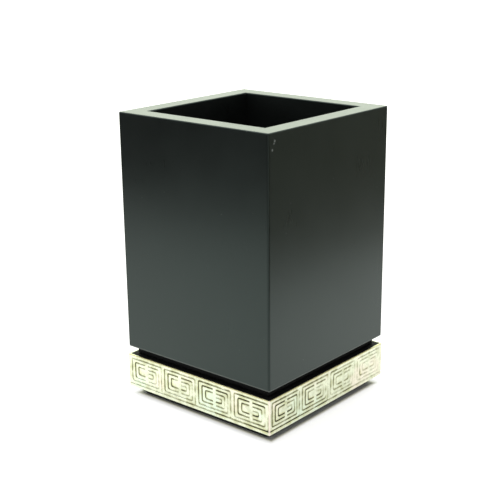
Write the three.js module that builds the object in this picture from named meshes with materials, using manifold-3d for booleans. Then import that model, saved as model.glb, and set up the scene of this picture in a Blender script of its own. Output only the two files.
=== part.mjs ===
// A square desk cup for pens: four mitred, black lacquered boards on a recessed neck, over a base board
// that is wrapped in an embossed metal band with a square fret, on an inset foot with a felt pad.
// Millimetres, +Z up. The origin is the middle of the underside, and the front faces -Y.

import * as THREE from 'three';
import { mergeVertices } from 'three/addons/utils/BufferGeometryUtils.js';
import Module from 'manifold-3d';

const wasm = await Module();
wasm.setup();

// Cup
const cupWidth = 76;
const cupHeight = 98.8;
const wallThickness = 8.1;
const arrisRadius = 0.45;
const cornerExtraRadius = 0.15;
const arrisSteps = 3;

// Cup floor, with a tongue all round that sits in a groove in the walls
const tongueThickness = 3;
const tongueReach = 3;
const shoulderBelowTongue = 1.5;
const shoulderAboveTongue = 1.5;

// Keys across the mitres, hidden inside the walls
const splineWidth = 5;
const splineThickness = 2;
const splineAboveTongue = 4;
const splineBelowRim = 10;

// Layers under the cup, from the table up
const feltThickness = 0.9;
const feltInset = 1;
const feltCornerRadius = 1.5;
const footThickness = 2.5;
const footInset = 3.15;
const baseHeight = 14.5;
const neckHeight = 3.25;
const neckInset = 2.75;

// Metal band round the base board
const bandBacking = 0.25;
const bandProud = 0.3;

// Fret pressed into the band: one square spiral line in each tile, broken by an upright stem
const tilesPerSide = 4;
const cornerLand = 1;
const fretStarts = { front: 0.55, right: 0.05, back: 0.3, left: 0.3 };
const fretLineWidth = 0.62;
const fretDepth = 0.35;
const fretPitch = 1.58;
const fretPitchLeft = 1.9;
const fretFromBottom = 1.65;
const fretFromTop = 1.4;
const fretFromLeft = 1.6;
const fretFromRight = 0.3;
const stemWidth = 1.6;

// Wood screws that hold foot, base and neck to the cup floor
const screwFromFootEdge = 14;
const screwHeadRadius = 3.7;
const screwHeadHeight = 2.1;
const screwPlainLength = 0.4;
const screwCoreRadius = 1.35;
const screwThreadRadius = 1.9;
const screwThreadPitch = 2;
const screwTipLength = 3;
const screwTipCover = 1.3;
const screwSunk = 0.1;
const screwSides = 12;
const recessWidth = 0.9;
const recessSpan = 4.2;
const recessDepth = 1.4;

// Clearances
const glueLine = 0.1;
const jointClearance = 0.15;
const screwClearance = 0.2;

// Heights of the layers
const footBottom = feltThickness + glueLine;
const baseBottom = footBottom + footThickness + glueLine;
const neckBottom = baseBottom + baseHeight + glueLine;
const cupBottom = neckBottom + neckHeight + glueLine;
const rimHeight = cupBottom + cupHeight;
const tongueBottom = cupBottom + shoulderBelowTongue;
const tongueTop = tongueBottom + tongueThickness;
const floorTop = tongueTop + shoulderAboveTongue;
const splineBottom = tongueTop + splineAboveTongue;
const splineTop = rimHeight - splineBelowRim;

// Widths of the layers
const boreWidth = cupWidth - 2 * wallThickness;
const bandThickness = fretDepth + bandBacking;
const bandWidth = cupWidth + 2 * bandProud;
const baseWidth = bandWidth - 2 * (bandThickness + glueLine);
const neckWidth = cupWidth - 2 * neckInset;
const footWidth = cupWidth - 2 * footInset;
const feltWidth = footWidth - 2 * feltInset;
const screwPlace = footWidth / 2 - screwFromFootEdge;

const quarterTurn = Math.PI / 2;
const overshoot = 1;
const sides = ['front', 'right', 'back', 'left'];
const corners = ['front_left', 'front_right', 'back_right', 'back_left'];

// Finishes
const lacquer = { color: 0x17181a, roughness: 0.42, metalness: 0 };
const silver = { color: 0xcfcdb8, roughness: 0.36, metalness: 1 };
const rawWood = { color: 0xb58a5a, roughness: 0.8, metalness: 0 };
const felt = { color: 0x1d1f1e, roughness: 0.95, metalness: 0 };
const steel = { color: 0xa9a48f, roughness: 0.35, metalness: 1 };

// Solids and meshes

// Shared vertices are merged, and triangles that have collapsed, as on a lathe's axis, are dropped
function solid(geometry) {
  const bare = geometry.clone();
  bare.deleteAttribute('normal');
  bare.deleteAttribute('uv');
  const welded = mergeVertices(bare);
  const triangles = [];
  for (let start = 0; start < welded.index.count; start += 3) {
    const triangle = welded.index.array.slice(start, start + 3);
    if (new Set(triangle).size === 3) {
      triangles.push(...triangle);
    }
  }
  const vertProperties = new Float32Array(welded.attributes.position.array);
  const triVerts = new Uint32Array(triangles);
  return new wasm.Manifold(new wasm.Mesh({ numProp: 3, vertProperties, triVerts }));
}

function join(solids) {
  return solids.reduce((whole, piece) => whole.add(piece));
}

function mesh(name, shape, finish) {
  const { vertProperties, triVerts } = shape.getMesh();
  const geometry = new THREE.BufferGeometry();
  geometry.setAttribute('position', new THREE.BufferAttribute(vertProperties, 3));
  geometry.setIndex(new THREE.BufferAttribute(triVerts, 1));
  const faceted = geometry.toNonIndexed();
  faceted.computeVertexNormals();
  const piece = new THREE.Mesh(faceted, new THREE.MeshStandardMaterial(finish));
  piece.name = name;
  return piece;
}

function box(low, high) {
  const size = high.map((value, axis) => value - low[axis]);
  const middle = high.map((value, axis) => (value + low[axis]) / 2);
  return solid(new THREE.BoxGeometry(...size).translate(...middle));
}

function squareBox(width, bottom, top) {
  return box([-width / 2, -width / 2, bottom], [width / 2, width / 2, top]);
}

function prism(points, bottom, top) {
  const outline = new THREE.Shape(points.map(([x, y]) => new THREE.Vector2(x, y)));
  const geometry = new THREE.ExtrudeGeometry(outline, { depth: top - bottom, bevelEnabled: false });
  return solid(geometry.translate(0, 0, bottom));
}

function squareOutline(width, radius) {
  const flat = width / 2 - radius;
  const outline = new THREE.Shape();
  outline.absarc(flat, -flat, radius, -quarterTurn, 0);
  outline.absarc(flat, flat, radius, 0, quarterTurn);
  outline.absarc(-flat, flat, radius, quarterTurn, 2 * quarterTurn);
  outline.absarc(-flat, -flat, radius, 2 * quarterTurn, 3 * quarterTurn);
  return outline;
}

// A square board with softened edges all round, with a square hole through it where a bore is given.
// Its upright corners are a little rounder than its other edges.
function softBoard(width, bottom, top, bore = 0) {
  const outline = squareOutline(width, arrisRadius + cornerExtraRadius);
  if (bore > 0) {
    const half = bore / 2;
    const points = [[-half, -half], [-half, half], [half, half], [half, -half]];
    outline.holes.push(new THREE.Path(points.map(([x, y]) => new THREE.Vector2(x, y))));
  }
  const geometry = new THREE.ExtrudeGeometry(outline, {
    depth: top - bottom - 2 * arrisRadius,
    bevelThickness: arrisRadius,
    bevelSize: arrisRadius,
    bevelOffset: -arrisRadius,
    bevelSegments: arrisSteps,
    curveSegments: arrisSteps,
  });
  return solid(geometry.translate(0, 0, bottom + arrisRadius));
}

function lathe(profile, segments) {
  const points = profile.map(([radius, height]) => new THREE.Vector2(radius, height));
  return solid(new THREE.LatheGeometry(points, segments).rotateX(quarterTurn));
}

// Cup walls: one quarter of a square tube each, cut along the mitre planes

function mitreQuarter() {
  const apex = -glueLine / Math.SQRT2;
  const outline = [[0, apex], [-cupWidth, apex - cupWidth], [cupWidth, apex - cupWidth]];
  return prism(outline, 0, rimHeight + overshoot);
}

function tongueGroove() {
  const width = boreWidth + 2 * (tongueReach + jointClearance);
  return squareBox(width, tongueBottom - jointClearance, tongueTop + jointClearance);
}

// A key stands across the mitre in the front left corner, in the middle of the boards' thickness
function mitreKey(clearance) {
  const spare = 2 * clearance;
  const height = splineTop - splineBottom;
  const middle = (cupWidth - wallThickness) / 2;
  const key = new THREE.BoxGeometry(splineWidth + spare, splineThickness + spare, height + spare);
  key.rotateZ(-quarterTurn / 2);
  key.translate(-middle, -middle, splineBottom + height / 2);
  return solid(key);
}

function wall() {
  const tube = softBoard(cupWidth, cupBottom, rimHeight, boreWidth);
  const leftSlot = mitreKey(jointClearance);
  const rightSlot = leftSlot.mirror([1, 0, 0]);
  return tube.intersect(mitreQuarter()).subtract(tongueGroove()).subtract(leftSlot).subtract(rightSlot);
}

// Screw: cross recess in a countersunk head, ribbed shank and a pointed tip, standing along +Z

const screwBottom = footBottom + screwSunk;
const screwLength = floorTop - screwTipCover - screwBottom;

function screwProfile() {
  const profile = [[0, 0], [screwHeadRadius, 0], [screwCoreRadius, screwHeadHeight]];
  const threadStart = screwHeadHeight + screwPlainLength;
  const threadEnd = screwLength - screwTipLength;
  for (let height = threadStart; height + screwThreadPitch <= threadEnd; height += screwThreadPitch) {
    profile.push([screwCoreRadius, height]);
    profile.push([screwThreadRadius, height + screwThreadPitch / 2]);
  }
  profile.push([screwCoreRadius, threadEnd]);
  profile.push([0, screwLength]);
  return profile;
}

function screw() {
  const arm = recessSpan / 2;
  const slot = recessWidth / 2;
  const recess = join([
    box([-arm, -slot, -overshoot], [arm, slot, recessDepth]),
    box([-slot, -arm, -overshoot], [slot, arm, recessDepth]),
  ]);
  return lathe(screwProfile(), screwSides).subtract(recess).translate([0, 0, screwBottom]);
}

// The hole that a screw needs through every layer, with its countersink in the foot's underside
function screwHole() {
  const shank = screwThreadRadius + screwClearance;
  const head = screwHeadRadius + screwClearance;
  const coneTop = screwSunk + screwHeadHeight + screwClearance;
  const tip = screwLength + screwSunk + screwClearance;
  const sink = screwClearance + screwSunk;
  const profile = [
    [0, -overshoot],
    [head, -overshoot],
    [head, sink],
    [shank, coneTop],
    [shank, tip],
    [0, tip],
  ];
  return lathe(profile, screwSides).translate([0, 0, footBottom]);
}

const middleAxis = new THREE.Vector2();
const screwSpots = corners.map((corner, turn) => {
  const spot = new THREE.Vector2(-screwPlace, -screwPlace).rotateAround(middleAxis, turn * quarterTurn);
  return { name: 'screw_' + corner, x: spot.x, y: spot.y };
});
const screwHoles = join(screwSpots.map(({ x, y }) => screwHole().translate([x, y, 0])));

// Boards of the base and the cup floor

function cupFloor() {
  const clear = 2 * jointClearance;
  const panel = squareBox(boreWidth - clear, cupBottom, floorTop);
  const tongue = squareBox(boreWidth + 2 * tongueReach - clear, tongueBottom, tongueTop);
  return panel.add(tongue).subtract(screwHoles);
}

function neckBlock() {
  return squareBox(neckWidth, neckBottom, neckBottom + neckHeight).subtract(screwHoles);
}

function baseBoard() {
  return squareBox(baseWidth, baseBottom, baseBottom + baseHeight).subtract(screwHoles);
}

function footPlate() {
  return softBoard(footWidth, footBottom, footBottom + footThickness).subtract(screwHoles);
}

function feltPad() {
  const outline = squareOutline(feltWidth, feltCornerRadius);
  const options = { depth: feltThickness, bevelEnabled: false, curveSegments: 2 * arrisSteps };
  return solid(new THREE.ExtrudeGeometry(outline, options));
}

// Metal band: each strip is laid out with its outer face at y = 0, facing -Y, and x from its left corner

const tileWidth = (bandWidth - cornerLand) / tilesPerSide;

const stemMiddle = (fretFromLeft + tileWidth - fretFromRight) / 2;

// The line of one tile starts at the left end of its lowest run and turns inwards while there is room.
// The last run down is taken off again, and the run to the left before it ends at the stem.
function fretPath() {
  const path = [[0, fretFromBottom]];
  let left = fretFromLeft;
  let right = tileWidth - fretFromRight;
  let bottom = fretFromBottom;
  let top = baseHeight - fretFromTop;
  while (top - bottom > fretPitch && right - left > fretPitch) {
    path.push([right, bottom], [right, top], [left, top], [left, bottom + fretPitch]);
    left += fretPitchLeft;
    right -= fretPitch;
    bottom += fretPitch;
    top -= fretPitch;
  }
  path.pop();
  path.at(-1)[0] = stemMiddle;
  return path;
}

function fretLine(from, to) {
  const half = fretLineWidth / 2;
  const low = [Math.min(from[0], to[0]) - half, -overshoot, Math.min(from[1], to[1]) - half];
  const high = [Math.max(from[0], to[0]) + half, fretDepth, Math.max(from[1], to[1]) + half];
  return box(low, high);
}

// The stem is a flat ridge that breaks every level run above the two lowest and below the highest
function fretTile() {
  const path = fretPath();
  const lines = path.slice(1).map((point, index) => fretLine(path[index], point));
  const stem = box(
    [stemMiddle - stemWidth / 2, -2 * overshoot, fretFromBottom + 1.5 * fretPitch],
    [stemMiddle + stemWidth / 2, bandThickness, baseHeight - fretFromTop - fretPitch / 2],
  );
  return join(lines).subtract(stem);
}

// The pattern runs on from strip to strip, so the first tile of each stands at its own place
function bandStrip(side) {
  const end = glueLine / Math.SQRT2;
  const outline = [
    [end, 0],
    [bandWidth - end, 0],
    [bandWidth - end - bandThickness, bandThickness],
    [end + bandThickness, bandThickness],
  ];
  const lines = [fretLine([0, fretFromBottom], [bandWidth, fretFromBottom])];
  for (let index = 0; index < tilesPerSide; index += 1) {
    lines.push(fretTile().translate([fretStarts[side] + index * tileWidth, 0, 0]));
  }
  const strip = prism(outline, 0, baseHeight).subtract(join(lines));
  return strip.translate([-bandWidth / 2, -bandWidth / 2, baseBottom]);
}

// Assembly

const penHolder = new THREE.Group();

const wallShape = wall();
sides.forEach((side, turn) => {
  const quarter = new THREE.Group();
  quarter.rotation.z = turn * quarterTurn;
  quarter.add(mesh('wall_' + side, wallShape, lacquer));
  quarter.add(mesh('band_' + side, bandStrip(side), silver));
  penHolder.add(quarter);
});

const splineShape = mitreKey(0);
corners.forEach((corner, turn) => {
  const spline = mesh('mitre_spline_' + corner, splineShape, rawWood);
  spline.rotation.z = turn * quarterTurn;
  penHolder.add(spline);
});

const screwShape = screw();
screwSpots.forEach(({ name, x, y }) => {
  const piece = mesh(name, screwShape, steel);
  piece.position.set(x, y, 0);
  penHolder.add(piece);
});

penHolder.add(mesh('cup_floor', cupFloor(), lacquer));
penHolder.add(mesh('neck_block', neckBlock(), lacquer));
penHolder.add(mesh('base_board', baseBoard(), lacquer));
penHolder.add(mesh('foot_plate', footPlate(), lacquer));
penHolder.add(mesh('felt_pad', feltPad(), felt));

export default penHolder;
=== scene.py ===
import math

import bmesh
import bpy
import numpy as np
from mathutils import Matrix, Vector, noise


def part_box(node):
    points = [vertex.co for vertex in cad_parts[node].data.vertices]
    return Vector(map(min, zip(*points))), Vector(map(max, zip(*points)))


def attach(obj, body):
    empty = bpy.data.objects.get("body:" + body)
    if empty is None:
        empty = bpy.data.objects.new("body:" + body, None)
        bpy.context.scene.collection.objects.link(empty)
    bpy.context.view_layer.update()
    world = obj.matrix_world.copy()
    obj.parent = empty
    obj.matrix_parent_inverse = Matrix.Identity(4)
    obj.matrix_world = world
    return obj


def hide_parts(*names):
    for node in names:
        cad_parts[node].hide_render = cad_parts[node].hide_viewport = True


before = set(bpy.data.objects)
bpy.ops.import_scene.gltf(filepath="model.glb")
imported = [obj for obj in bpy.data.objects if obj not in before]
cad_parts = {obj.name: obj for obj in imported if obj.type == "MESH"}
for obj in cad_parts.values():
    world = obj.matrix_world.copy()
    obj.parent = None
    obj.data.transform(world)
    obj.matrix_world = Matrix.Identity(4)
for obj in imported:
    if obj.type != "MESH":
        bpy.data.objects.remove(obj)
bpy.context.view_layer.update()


# Cup walls: four boards a good 8 mm thick, mitred at the upright corners, keyed and glued together.
# Satin black lacquer is sprayed over them inside and out and rubbed down, so that no joint shows.
# A groove round the inside, near the lower edge, takes the tongue of the cup floor.

MM = 0.001
SIDES = ("front", "right", "back", "left")
CORNERS = ("front_left", "front_right", "back_right", "back_left")

cup_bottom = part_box("wall_front")[0].z
rim_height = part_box("wall_front")[1].z
cup_half = -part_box("wall_front")[0].y
wall_thickness = cup_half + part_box("wall_front")[1].y
groove_reach = 3.15 * MM
groove_bottom = cup_bottom + 1.35 * MM
groove_top = cup_bottom + 4.65 * MM
corner_radius = 0.6 * MM
arris_radius = 0.45 * MM
arris_steps = 6
flat_margin = 0.12 * MM
weld_distance = 0.0001 * MM
soft_angle = 40
key_slot_depth = 2.65 * MM
key_slot_half_thickness = 1.15 * MM
key_slot_spare = 0.15 * MM

lacquer_black = (0.0058, 0.0062, 0.0060, 1)
lacquer_roughness = 0.30
lacquer_index = 1.55
lacquer_sheen_tint = (0.74, 0.98, 0.90, 1)
dust_grey = (0.20, 0.20, 0.19, 1)
noise_span = (0.3, 0.7)
clouds_per_metre = 45
cloud_shade = (0.88, 1.14)
cloud_roughness = 0.10
rubbing_per_metre = (2200, 2200, 45)
rubbing_roughness = 0.06
rubbing_height = 0.0004 * MM
peel_per_metre = 850
peel_height = 0.004 * MM
specks_per_metre = 165
speck_edge = (0.032, 0.018)
speck_share = 0.55
speck_roughness = 0.2
speck_height = 0.01 * MM

plain_specular = 0.5
corner_specular = 0.41
corner_zone = (1.3 * MM, 0.7 * MM)
# Pale grey for a painted highlight along the walls' lower edge, and for pale flecks at the marks.
highlight_and_fleck_grey = (0.16, 0.17, 0.16, 1)
highlight_and_fleck_roughness = 0.3
painted_edge_highlight_share = 0.65
painted_edge_highlight_zone = (0.65 * MM, 0.95 * MM)
painted_edge_highlight_raggedness = 0.3 * MM
fleck_raggedness = 0.9
fleck_edge = (-0.05, 0.12)
ragged_per_metre = 2600
pale_flecks = (
    ((38.0, -34.4, 117.2), 0.95),
    ((38.0, -34.8, 116.3), 0.75),
    ((38.0, -35.8, 114.1), 0.85),
)


def arc(centre, radius, start, end, steps):
    """Points on a circle from one angle to another, in degrees."""
    x, y = centre
    angles = [math.radians(start + (end - start) * step / steps) for step in range(steps + 1)]
    return [(x + radius * math.cos(angle), y + radius * math.sin(angle)) for angle in angles]


def corner_point(side, flat, way, reach):
    """A point of a rounded corner: the reach out from its centre, or in along the mitre where under 0."""
    bend = Vector(way) * max(reach, 0)
    inward = max(-reach, 0)
    return bend.x + side * (flat - inward), bend.y - flat + inward


def swept_side(builder, half, corner, section, spots, relief=None):
    """One side of a square ring, from mitre to mitre, swept by a closed section of (inset, height).

    The spots are the places along the flat stretch, and relief gives the extra inset of each point.
    """
    columns = [(-1, way) for way in arc((0, 0), 1, 225, 270, arris_steps)]
    columns += [(0, spot) for spot in spots]
    columns += [(1, way) for way in arc((0, 0), 1, 270, 315, arris_steps)]
    rows = []
    for number, (inset, height) in enumerate(section):
        extra = relief[number] if relief is not None else [0] * len(columns)
        row = []
        for (side, place), more in zip(columns, extra):
            limit = half - inset - more
            if side:
                row.append(corner_point(side, half - corner, place, corner - inset - more))
            else:
                row.append((min(max(place, -limit), limit), -limit))
        rows.append([builder.verts.new((x, y, height)) for x, y in row])
    for row, above in zip(rows, rows[1:] + rows[:1]):
        for index in range(len(row) - 1):
            builder.faces.new((row[index], row[index + 1], above[index + 1], above[index]))
    return rows


def finished_piece(name, builder, smooth_angle=soft_angle):
    """Welds a mesh, turns its faces outwards, keeps its hard edges hard and rides it on the object."""
    bmesh.ops.remove_doubles(builder, verts=builder.verts, dist=weld_distance)
    bmesh.ops.recalc_face_normals(builder, faces=builder.faces)
    mesh = bpy.data.meshes.new(name)
    builder.to_mesh(mesh)
    builder.free()
    mesh.polygons.foreach_set("use_smooth", [True] * len(mesh.polygons))
    mesh.set_sharp_from_angle(angle=math.radians(smooth_angle))
    piece = bpy.data.objects.new(name, mesh)
    bpy.context.scene.collection.objects.link(piece)
    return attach(piece, "root")


def turn_piece(builder, turn):
    """Turns a mesh about the upright axis by whole quarter turns."""
    quarter = Matrix.Rotation(turn * math.pi / 2, 3, "Z")
    bmesh.ops.rotate(builder, verts=builder.verts, cent=(0, 0, 0), matrix=quarter)


def wall_section():
    """The board's end as (inset from the outer face, height), up the outside and down the inside."""
    r = arris_radius
    depth = wall_thickness
    groove = depth - groove_reach
    section = [(0, cup_bottom + r + flat_margin), (0, rim_height - r - flat_margin)]
    section += arc((r, rim_height - r), r, 180, 90, arris_steps)
    section += [(r + flat_margin, rim_height), (depth - r - flat_margin, rim_height)]
    section += arc((depth - r, rim_height - r), r, 90, 0, arris_steps)
    section += [(depth, rim_height - r - flat_margin), (depth, groove_top + flat_margin)]
    section += [(depth, groove_top), (groove, groove_top), (groove, groove_bottom), (depth, groove_bottom)]
    section += arc((depth - r, cup_bottom + r), r, 0, -90, arris_steps)
    section += [(depth - r - flat_margin, cup_bottom), (r + flat_margin, cup_bottom)]
    section += arc((r, cup_bottom + r), r, -90, -180, arris_steps)
    return section


def mitre_face(builder, outline, side):
    """Closes one mitred end of a wall round the mouth of the slot for the key, and sinks the slot."""
    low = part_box("mitre_spline_front_left")[0].z - key_slot_spare
    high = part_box("mitre_spline_front_left")[1].z + key_slot_spare
    middle = Vector((side, -1, 0)) * (cup_half - wall_thickness / 2)
    outwards = Vector((side, -1, 0)).normalized() * key_slot_half_thickness
    inwards = Vector((-side, -1, 0)).normalized() * key_slot_depth
    mouth = []
    for way, height in ((-1, low), (1, low), (1, high), (-1, high)):
        mouth.append(builder.verts.new(middle + outwards * way + Vector((0, 0, height))))
    bottom = [builder.verts.new(corner.co + inwards) for corner in mouth]
    edges = [builder.edges.get(pair) for pair in zip(outline, outline[1:] + outline[:1])]
    edges += [builder.edges.new(pair) for pair in zip(mouth, mouth[1:] + mouth[:1])]
    bmesh.ops.triangle_fill(builder, edges=edges, use_beauty=True, normal=(side, 1, 0))
    for index in range(4):
        after = (index + 1) % 4
        builder.faces.new((mouth[index], mouth[after], bottom[after], bottom[index]))
    builder.faces.new(bottom)


def cup_wall(name, turn):
    """One board of the cup, with its groove, its mitred ends and the slots for the keys."""
    builder = bmesh.new()
    flat = cup_half - corner_radius
    ends = (flat_margin - flat, flat - flat_margin)
    rows = swept_side(builder, cup_half, corner_radius, wall_section(), ends)
    mitre_face(builder, [row[0] for row in rows], -1)
    mitre_face(builder, [row[-1] for row in rows], 1)
    turn_piece(builder, turn)
    return finished_piece(name, builder)


def add(tree, kind, sockets=None, **options):
    """Places a shader node with its options, and fills its sockets with values or links."""
    made = tree.nodes.new(kind)
    for option, value in options.items():
        setattr(made, option, value)
    for socket, value in (sockets or {}).items():
        if isinstance(value, bpy.types.NodeSocket):
            tree.links.new(value, made.inputs[socket])
        else:
            made.inputs[socket].default_value = value
    return made


def maths(tree, operation, first, second=0.0, third=0.0):
    """A sum on values that change over the surface."""
    return add(tree, "ShaderNodeMath", {0: first, 1: second, 2: third}, operation=operation).outputs[0]


def scaled(tree, colour, share):
    """A colour made brighter or darker by a share."""
    return add(tree, "ShaderNodeVectorMath", {0: colour, "Scale": share}, operation="SCALE").outputs[0]


def ramp(tree, value, low, high, to_low=0.0, to_high=1.0):
    """The value, moved smoothly from one span to another."""
    sockets = {"Value": value, "From Min": low, "From Max": high, "To Min": to_low, "To Max": to_high}
    return add(tree, "ShaderNodeMapRange", sockets, interpolation_type="SMOOTHSTEP").outputs["Result"]


def close_to(tree, value, limit, zone, to_low=0.0, to_high=1.0):
    """The change as a value comes within a zone (start, end) under its limit."""
    return ramp(tree, value, limit - zone[0], limit - zone[1], to_low, to_high)


def over_noise(tree, value, to_low, to_high):
    """A change over the span in which the values of a noise mostly lie."""
    return ramp(tree, value, *noise_span, to_low, to_high)


def unevenly(tree, value, pattern, share):
    """A value that goes up and down by a share of a noise, the same both ways."""
    return maths(tree, "MULTIPLY_ADD", maths(tree, "SUBTRACT", pattern, 0.5), share, value)


def mixed(tree, share, first, second):
    """One colour turning into another."""
    made = add(tree, "ShaderNodeMix", data_type="RGBA")
    for socket, value in {"Factor": share, "A": first, "B": second}.items():
        place = next(item for item in made.inputs if item.name == socket and item.enabled)
        if isinstance(value, bpy.types.NodeSocket):
            tree.links.new(value, place)
        else:
            place.default_value = value
    return next(item for item in made.outputs if item.enabled)


def grain_noise(tree, place, per_metre, detail=2.0, roughness=0.5):
    """Cloudy noise with about this many clouds to the metre."""
    sockets = {"Vector": place, "Scale": per_metre, "Detail": detail, "Roughness": roughness}
    return add(tree, "ShaderNodeTexNoise", sockets).outputs[0]


def drawn_out(tree, place, per_metre, detail=2.0, roughness=0.5):
    """Noise with its own scale along each axis, for grain and rubbing marks."""
    stretched = add(tree, "ShaderNodeMapping", {"Vector": place, "Scale": per_metre}).outputs["Vector"]
    return grain_noise(tree, stretched, 1, detail, roughness)


def off_middle(tree, axes, operation):
    """The smaller or larger of how far a point lies from the upright axis along X and along Y."""
    return maths(tree, operation, maths(tree, "ABSOLUTE", axes["X"]), maths(tree, "ABSOLUTE", axes["Y"]))


def effect(name, inputs, outputs):
    """An empty node group with these sockets, and its ends."""
    tree = bpy.data.node_groups.new(name, "ShaderNodeTree")
    for socket, kind in inputs.items():
        tree.interface.new_socket(socket, in_out="INPUT", socket_type="NodeSocket" + kind)
    for socket, kind in outputs.items():
        tree.interface.new_socket(socket, in_out="OUTPUT", socket_type="NodeSocket" + kind)
    return tree, tree.nodes.new("NodeGroupInput").outputs, tree.nodes.new("NodeGroupOutput").inputs


def satin_lacquer_effect():
    """Rubbed lacquer: cloudy depth, fine rubbing marks, a little orange peel and specks of dust in it."""
    inputs = {"Colour": "Color", "Dust Colour": "Color", "Roughness": "Float", "Peel": "Float"}
    outputs = {"Color": "Color", "Roughness": "Float", "Height": "Float"}
    tree, given, out = effect("satin_lacquer", inputs, outputs)
    place = add(tree, "ShaderNodeTexCoord").outputs["Object"]
    cloud = grain_noise(tree, place, clouds_per_metre, detail=3)
    rubbing = drawn_out(tree, place, rubbing_per_metre, detail=3, roughness=0.6)
    peel = grain_noise(tree, place, peel_per_metre)
    cells = add(tree, "ShaderNodeTexVoronoi", {"Vector": place, "Scale": specks_per_metre})
    speck = ramp(tree, cells.outputs["Distance"], *speck_edge)
    cloudy = scaled(tree, given["Colour"], over_noise(tree, cloud, *cloud_shade))
    dusty = mixed(tree, maths(tree, "MULTIPLY", speck, speck_share), cloudy, given["Dust Colour"])
    tree.links.new(dusty, out["Color"])
    rubbed = unevenly(tree, given["Roughness"], rubbing, rubbing_roughness)
    clouded = unevenly(tree, rubbed, cloud, cloud_roughness)
    tree.links.new(maths(tree, "MULTIPLY_ADD", speck, speck_roughness, clouded), out["Roughness"])
    scratched = maths(tree, "MULTIPLY", rubbing, rubbing_height)
    raised = maths(tree, "MULTIPLY_ADD", peel, given["Peel"], scratched)
    tree.links.new(maths(tree, "MULTIPLY_ADD", speck, speck_height, raised), out["Height"])
    return tree


satin_lacquer = satin_lacquer_effect()


def new_material(name):
    """A material with its Principled shader and the place on the surface, in metres."""
    made = bpy.data.materials.new(name)
    made.use_nodes = True
    shader = made.node_tree.nodes["Principled BSDF"]
    place = add(made.node_tree, "ShaderNodeTexCoord").outputs["Object"]
    return made, made.node_tree, shader, place


def relieved(tree, shader, height):
    """Feeds a height in metres to the shader's normal."""
    bump = add(tree, "ShaderNodeBump", {"Height": height, "Strength": 1.0, "Distance": 1.0})
    tree.links.new(bump.outputs["Normal"], shader.inputs["Normal"])


def painted_edge_highlight_and_flecks(tree, shader, place, marks):
    """Dulls the sheen at the upright corners, and gives the share of pale grey: a painted highlight along
    the lower edge, and pale flecks at the marks.
    """
    axes = add(tree, "ShaderNodeSeparateXYZ", {0: place}).outputs
    nearest = off_middle(tree, axes, "MINIMUM")
    dulled = close_to(tree, nearest, cup_half, corner_zone, plain_specular, corner_specular)
    tree.links.new(dulled, shader.inputs["Specular IOR Level"])
    ragged = grain_noise(tree, place, ragged_per_metre, detail=3, roughness=0.7)
    # Painted highlight: a pale grey band with a ragged top along the lower edge, standing in for light
    # caught by the lower arris.
    uneven = maths(tree, "MULTIPLY_ADD", ragged, painted_edge_highlight_raggedness, axes["Z"])
    low, high = (cup_bottom + reach for reach in painted_edge_highlight_zone)
    painted_highlight_and_flecks = ramp(tree, uneven, low, high, painted_edge_highlight_share, 0)
    for centre, size in marks:
        ends = {0: place, 1: [value * MM for value in centre]}
        apart = add(tree, "ShaderNodeVectorMath", ends, operation="DISTANCE").outputs["Value"]
        rough = maths(tree, "MULTIPLY_ADD", ragged, -fleck_raggedness * size * MM, apart)
        start, end = (share * size * MM for share in fleck_edge)
        mark = ramp(tree, rough, start, end, 1, 0)
        painted_highlight_and_flecks = maths(tree, "MAXIMUM", mark, painted_highlight_and_flecks)
    return painted_highlight_and_flecks


def lacquer(name, roughness=lacquer_roughness, marks=()):
    """Satin black lacquer. Where marks are given, it has pale flecks at their places and sizes in
    millimetres, and a painted highlight along the lower edge of the walls.
    """
    made, tree, shader, place = new_material(name)
    shader.inputs["IOR"].default_value = lacquer_index
    shader.inputs["Specular Tint"].default_value = lacquer_sheen_tint
    given = {"Colour": lacquer_black, "Dust Colour": dust_grey, "Roughness": roughness, "Peel": peel_height}
    film = add(tree, "ShaderNodeGroup", given, node_tree=satin_lacquer).outputs
    colour = film["Color"]
    dull = film["Roughness"]
    if marks:
        highlight_and_fleck_share = painted_edge_highlight_and_flecks(tree, shader, place, marks)
        colour = mixed(tree, highlight_and_fleck_share, colour, highlight_and_fleck_grey)
        dull = maths(tree, "MULTIPLY_ADD", highlight_and_fleck_share, highlight_and_fleck_roughness, dull)
    tree.links.new(colour, shader.inputs["Base Color"])
    tree.links.new(dull, shader.inputs["Roughness"])
    relieved(tree, shader, film["Height"])
    return made


wall_lacquer = lacquer("black_lacquer_walls", marks=pale_flecks)
for turn, side in enumerate(SIDES):
    wall = cup_wall("cup_wall_" + side, turn)
    wall.data.materials.append(wall_lacquer)
    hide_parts("wall_" + side)


# Mitre keys: a loose strip of plain hardwood in each upright corner, glued across the mitre in slots
# cut in both boards. The walls hide the keys once the cup is glued up.

key_easing = 0.2 * MM
key_half_length = 2.5 * MM
key_half_thickness = 1.0 * MM
wood_pale = (0.52, 0.33, 0.16, 1)
wood_dark = (0.30, 0.16, 0.07, 1)
wood_bend_per_metre = (160, 160, 9)
rings_in_bend = 55
ring_darkening = 0.22
least_darkening = 0.2
wood_pores_per_metre = (5200, 5200, 260)
pore_darkening = 0.6
wood_roughness = (0.62, 0.85)
wood_pore_depth = 0.03 * MM


def stack_rings(builder, rings):
    """Joins closed rings of points, one above the other."""
    for ring, above in zip(rings, rings[1:]):
        for index in range(len(ring)):
            after = (index + 1) % len(ring)
            builder.faces.new((ring[index], ring[after], above[after], above[index]))


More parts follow.
